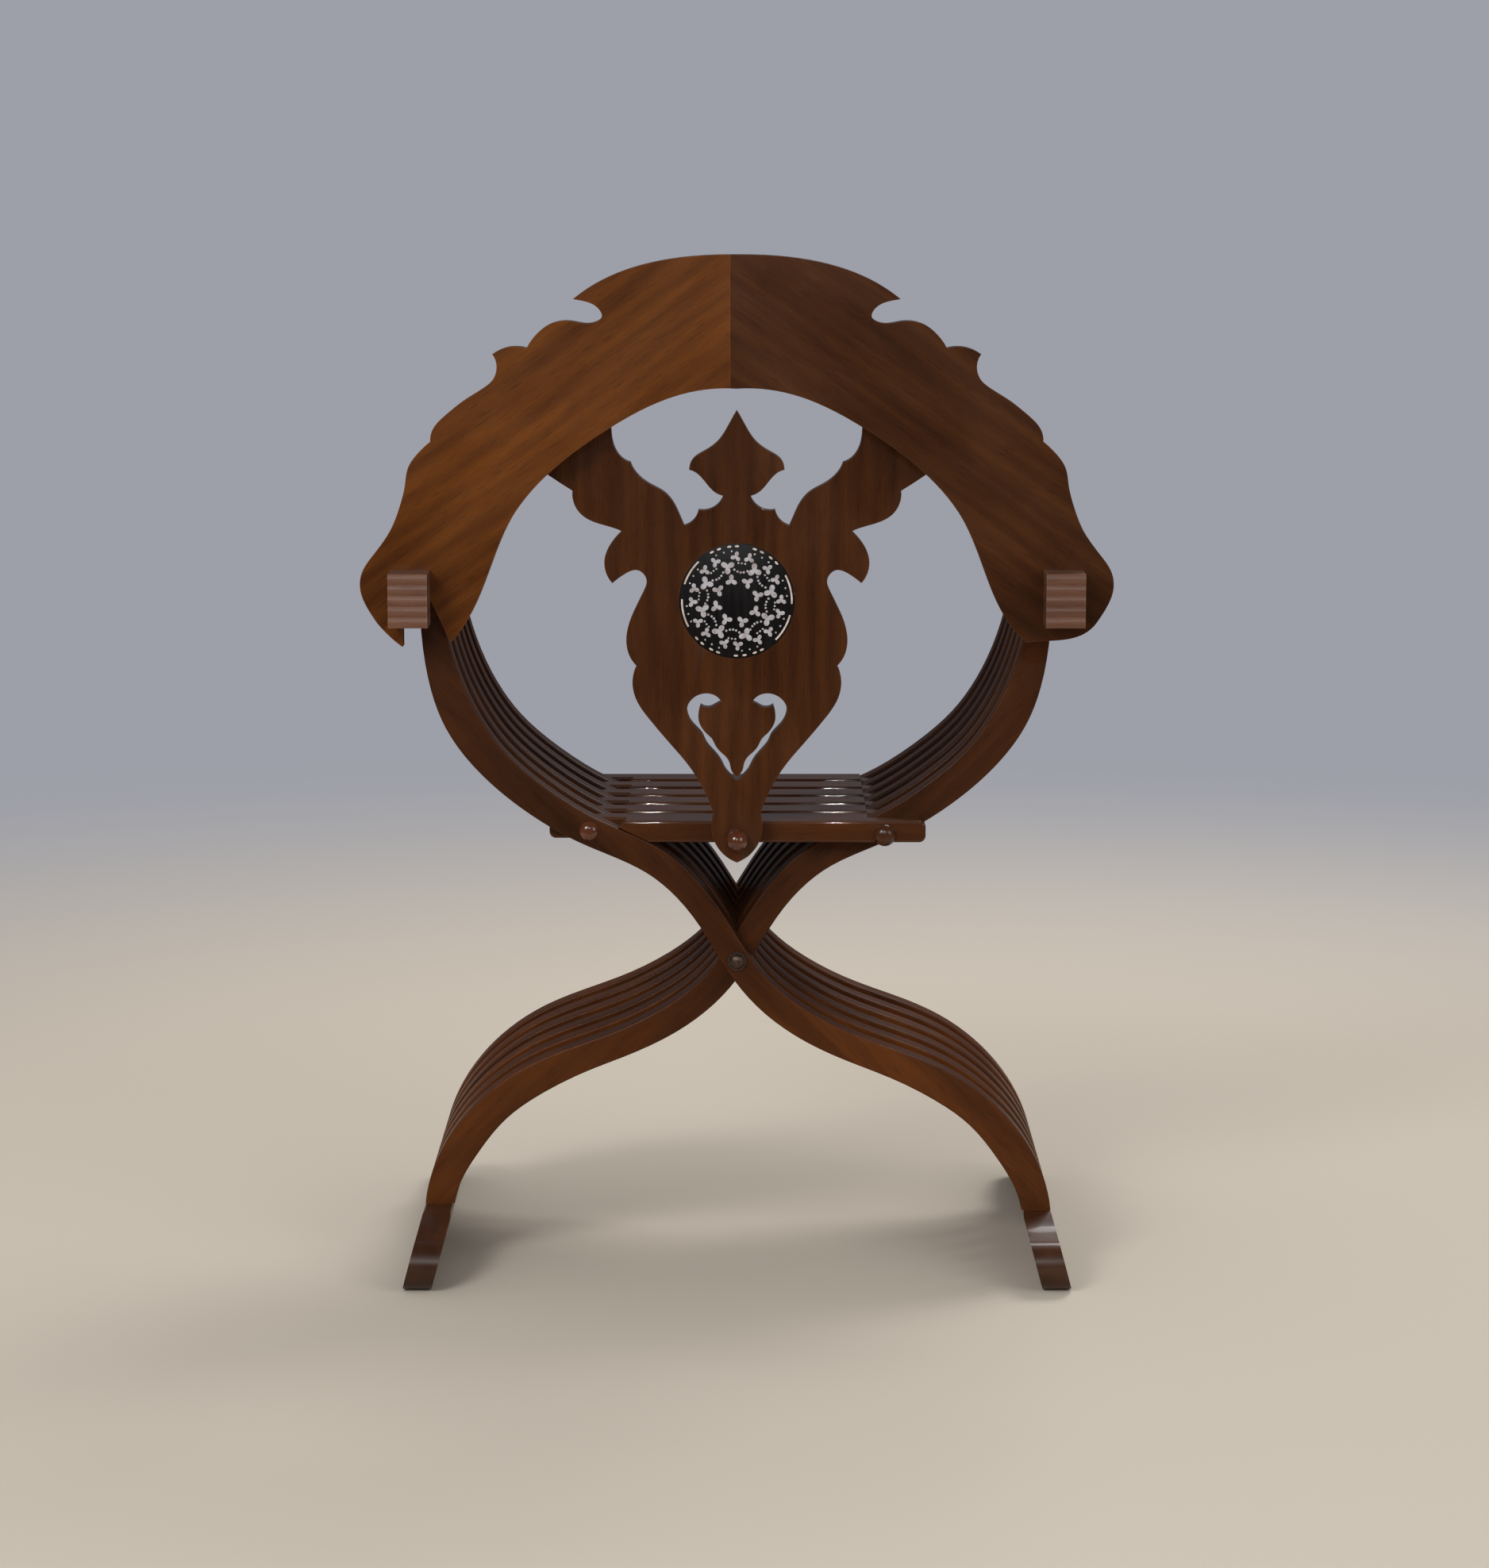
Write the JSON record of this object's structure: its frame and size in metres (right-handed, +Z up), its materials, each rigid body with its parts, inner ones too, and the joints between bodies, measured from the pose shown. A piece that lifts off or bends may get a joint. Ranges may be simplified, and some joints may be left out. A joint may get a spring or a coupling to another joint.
{
  "type": "folding slat armchair",
  "caption": "Folding Savonarola chair: crossing S-curved slats, hinged seat slats, scrolled arms, floor runners and an arched back with a pierced splat and inlaid disc.",
  "frame": {"origin": "on the floor, under the middle of the bounding box", "axes": "+Z up, +Y towards the front of the chair (the way the sitter faces), +X to the right when seen from behind"},
  "size_m": [0.6866, 0.4644, 0.9525],
  "materials": {
    "frame_wood": "polished walnut brown, satin",
    "light_board_wood": "polished walnut, lighter half of the back board",
    "dark_board_wood": "polished walnut, darker half of the back board",
    "splat_wood": "polished walnut splat",
    "turned_wood": "glossy turned red-brown wood",
    "ebonised_ground": "ebonised disc with bone-white inlay",
    "dark_iron": "dark iron"
  },
  "bodies": {
    "right_frame": {"slat_right_1": "frame_wood", "slat_right_2": "frame_wood", "slat_right_3": "frame_wood", "slat_right_4": "frame_wood", "slat_right_5": "frame_wood", "slat_right_6": "frame_wood", "arm_right": "frame_wood", "neck_dowel_right": "frame_wood", "scroll_block_right": "frame_wood", "foot_runner_left": "frame_wood", "main_pivot_rod": "dark_iron", "main_pivot_nut": "dark_iron", "pivot_washer_rear": "dark_iron", "pivot_washer_front": "dark_iron", "seat_rest_rod": "turned_wood", "seat_rest_button": "turned_wood"},
    "left_frame": {"slat_left_1": "frame_wood", "slat_left_2": "frame_wood", "slat_left_3": "frame_wood", "slat_left_4": "frame_wood", "slat_left_5": "frame_wood", "slat_left_6": "frame_wood", "arm_left": "frame_wood", "neck_dowel_left": "frame_wood", "scroll_block_left": "frame_wood", "foot_runner_right": "frame_wood", "seat_hinge_rod": "turned_wood", "seat_hinge_button": "turned_wood"},
    "back": {"back_board_left": "light_board_wood", "back_board_right": "dark_board_wood", "seam_dowels": "turned_wood", "back_splat": "splat_wood", "medallion_disc": "ebonised_ground", "splat_knob": "turned_wood", "wing_screws": "dark_iron"},
    "seat_1": {"seat_slat_1": "frame_wood"},
    "seat_2": {"seat_slat_2": "frame_wood"},
    "seat_3": {"seat_slat_3": "frame_wood"},
    "seat_4": {"seat_slat_4": "frame_wood"},
    "seat_5": {"seat_slat_5": "frame_wood"},
    "seat_6": {"seat_slat_6": "frame_wood"}
  },
  "joints": [
    {"name": "fold", "type": "hinge", "parent": "right_frame", "child": "left_frame", "pos_m": [0, 0, 0.298], "axis": [0, 1, 0], "range_deg": [0, 55]},
    {"name": "back_swing", "type": "hinge", "parent": "right_frame", "child": "back", "pos_m": [0.29, 0, 0.639], "axis": [0, 1, 0], "range_deg": [0, 110]},
    {"name": "seat_lift_1", "type": "hinge", "parent": "left_frame", "child": "seat_1", "pos_m": [-0.13713, 0, 0.42047], "axis": [0, 1, 0], "range_deg": [-110, 0]},
    {"name": "seat_lift_2", "type": "hinge", "parent": "left_frame", "child": "seat_2", "pos_m": [-0.13713, 0, 0.42047], "axis": [0, 1, 0], "range_deg": [-110, 0]},
    {"name": "seat_lift_3", "type": "hinge", "parent": "left_frame", "child": "seat_3", "pos_m": [-0.13713, 0, 0.42047], "axis": [0, 1, 0], "range_deg": [-110, 0]},
    {"name": "seat_lift_4", "type": "hinge", "parent": "left_frame", "child": "seat_4", "pos_m": [-0.13713, 0, 0.42047], "axis": [0, 1, 0], "range_deg": [-110, 0]},
    {"name": "seat_lift_5", "type": "hinge", "parent": "left_frame", "child": "seat_5", "pos_m": [-0.13713, 0, 0.42047], "axis": [0, 1, 0], "range_deg": [-110, 0]},
    {"name": "seat_lift_6", "type": "hinge", "parent": "left_frame", "child": "seat_6", "pos_m": [-0.13713, 0, 0.42047], "axis": [0, 1, 0], "range_deg": [-110, 0]}
  ],
  "couplings": [
    {"joint": "back_swing", "follows": "fold", "ratio": 2},
    {"joint": "seat_lift_1", "follows": "fold", "ratio": -2},
    {"joint": "seat_lift_2", "follows": "fold", "ratio": -2},
    {"joint": "seat_lift_3", "follows": "fold", "ratio": -2},
    {"joint": "seat_lift_4", "follows": "fold", "ratio": -2},
    {"joint": "seat_lift_5", "follows": "fold", "ratio": -2},
    {"joint": "seat_lift_6", "follows": "fold", "ratio": -2}
  ]
}
